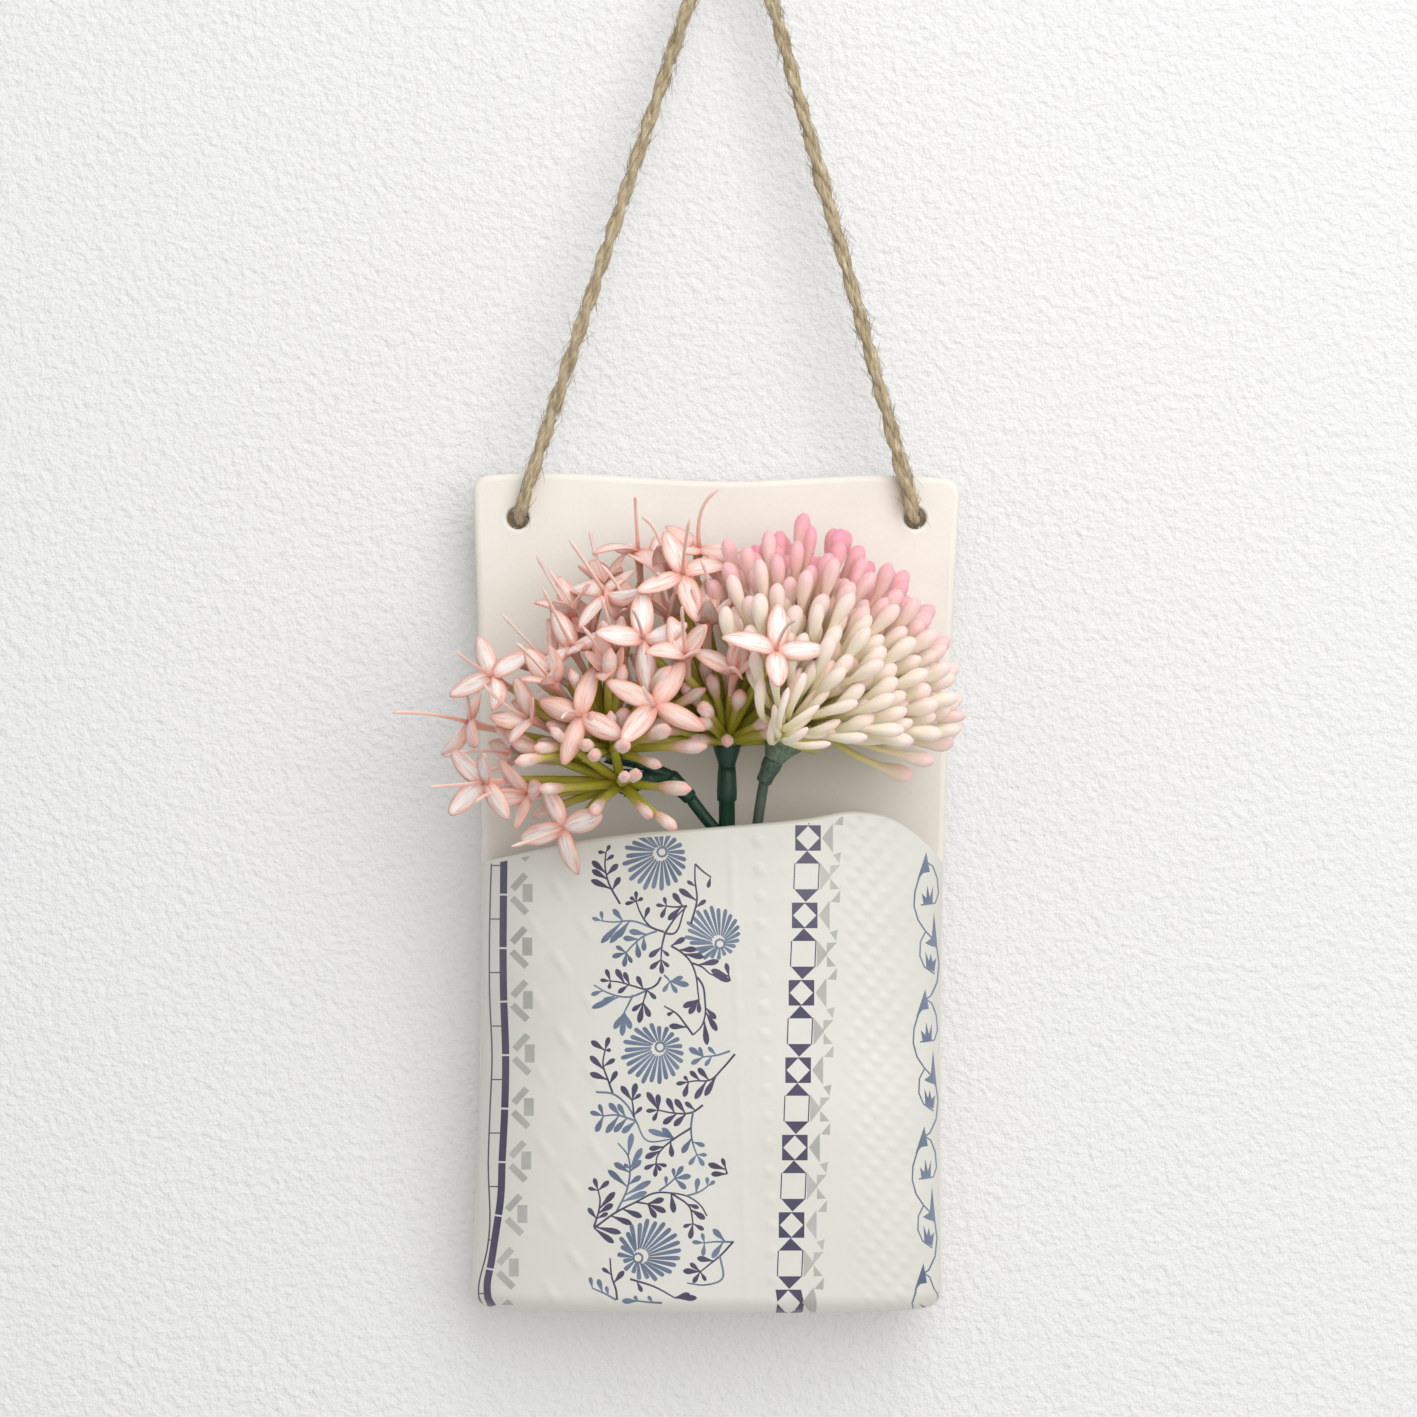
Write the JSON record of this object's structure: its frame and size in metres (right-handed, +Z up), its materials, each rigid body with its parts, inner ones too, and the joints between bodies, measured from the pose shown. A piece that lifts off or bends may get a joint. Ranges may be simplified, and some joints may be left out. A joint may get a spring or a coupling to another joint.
{
  "type": "hanging wall vase",
  "caption": "Slab-built ceramic wall pocket on a jute hanging cord, with a bulged printed front, a wavy rim, cord holes in its back plate and artificial flower stems that lift out.",
  "frame": {"origin": "the point where the cord bears on the top of its hook", "axes": "+X to the right of someone facing the wall, +Y into the wall, +Z up"},
  "size_m": [0.1064, 0.0702, 0.2822],
  "materials": {
    "bisque": "satin, unglazed",
    "glaze": "clear glaze over blue and grey print",
    "jute": "fuzzy two-ply twine",
    "stem_green": "matte moulded",
    "spoke_green": "matte moulded",
    "petal_pink": "soft matte",
    "stem_grey": "matte moulded",
    "globe_petal": "soft matte",
    "wire": "drawn wire"
  },
  "bodies": {
    "hanger": {"jute_cord": "jute", "knot_left": "jute", "knot_right": "jute"},
    "vase": {"back_plate": "bisque", "front_pocket": "glaze"},
    "bouquet": {"spray_stem": "stem_green", "spray_wire": "wire", "socket_upper": "stem_green", "socket_left": "stem_green", "socket_lower": "stem_green", "umbel_upper": "spoke_green", "umbel_left": "spoke_green", "umbel_lower": "spoke_green", "florets_upper": "petal_pink", "florets_left": "petal_pink", "florets_lower": "petal_pink", "globe_stem": "stem_grey", "globe_wire": "wire", "globe_collar": "stem_grey", "globe_calyx": "stem_grey", "globe_head": "globe_petal"}
  },
  "joints": [
    {"name": "vase_tilt", "type": "hinge", "parent": "hanger", "child": "vase", "pos_m": [-0.0033, -0.00225, -0.1214], "axis": [-1, 0, 0], "range_deg": [0, 10]},
    {"name": "bouquet_lift", "type": "slide", "parent": "vase", "child": "bouquet", "axis": [0, -0.1564, 0.9877], "range_m": [0, 0.1]}
  ]
}
